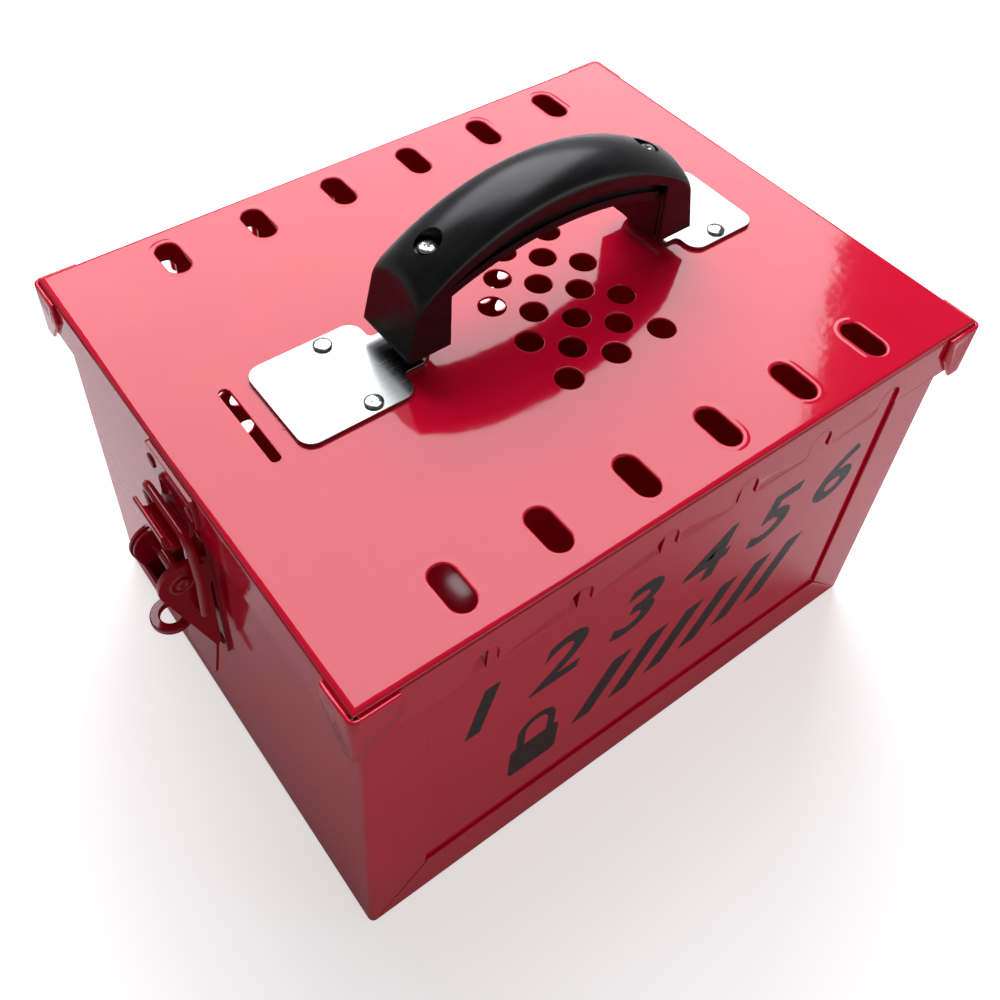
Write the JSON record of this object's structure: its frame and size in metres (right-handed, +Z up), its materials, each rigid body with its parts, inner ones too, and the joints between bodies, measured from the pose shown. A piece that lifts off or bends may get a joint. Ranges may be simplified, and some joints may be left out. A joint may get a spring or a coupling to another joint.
{
  "type": "group lockout box",
  "caption": "Portable steel lockout box with a hinged lid, padlock slots along both long sides, vent holes, a key slot, a strap handle and a draw latch.",
  "frame": {"origin": "centre of the base, on the surface the box stands on", "axes": "+X along the length from the latch end to the hinge end, +Y from front to back, +Z up"},
  "size_m": [0.2865, 0.209, 0.225],
  "materials": {
    "lid_paint": "gloss red powder coat",
    "body_paint": "gloss red powder coat",
    "latch_paint": "gloss red powder coat",
    "strap_steel": "bright brushed stainless steel",
    "grip_plastic": "black moulded plastic",
    "zinc": "bright zinc plate"
  },
  "bodies": {
    "box": {"body_wrapper": "body_paint", "front_panel": "body_paint", "back_panel": "body_paint", "hinge_body_leaf": "body_paint", "hinge_pin": "body_paint", "hinge_body_rivets": "body_paint", "latch_base": "latch_paint", "latch_base_rivets": "latch_paint", "padlock_ring": "latch_paint", "lever_pivot_pin": "latch_paint"},
    "lid": {"lid_panel": "lid_paint", "lid_corner_clips": "lid_paint", "hinge_lid_leaf": "body_paint", "hinge_lid_rivets": "body_paint", "handle_strap": "strap_steel", "grip_shell": "grip_plastic", "grip_liner": "grip_plastic", "grip_screws": "zinc", "handle_rivets_left": "strap_steel", "handle_rivets_right": "strap_steel", "keeper": "latch_paint", "keeper_rivets": "latch_paint"},
    "lever": {"latch_lever": "latch_paint"},
    "bail": {"latch_bail": "latch_paint"}
  },
  "joints": [
    {"name": "lid_hinge", "type": "hinge", "parent": "box", "child": "lid", "pos_m": [0.13375, 0, 0.146], "axis": [0, 1, 0], "range_deg": [0, 180]},
    {"name": "lever_hinge", "type": "hinge", "parent": "box", "child": "lever", "pos_m": [-0.1388, 0, 0.125], "axis": [0, 1, 0], "range_deg": [0, 90]},
    {"name": "bail_pivot", "type": "hinge", "parent": "lever", "child": "bail", "pos_m": [-0.1355, 0, 0.1088], "axis": [0, 1, 0], "range_deg": [-64, 0]}
  ],
  "couplings": [
    {"joint": "bail_pivot", "follows": "lever_hinge", "ratio": -0.7}
  ]
}
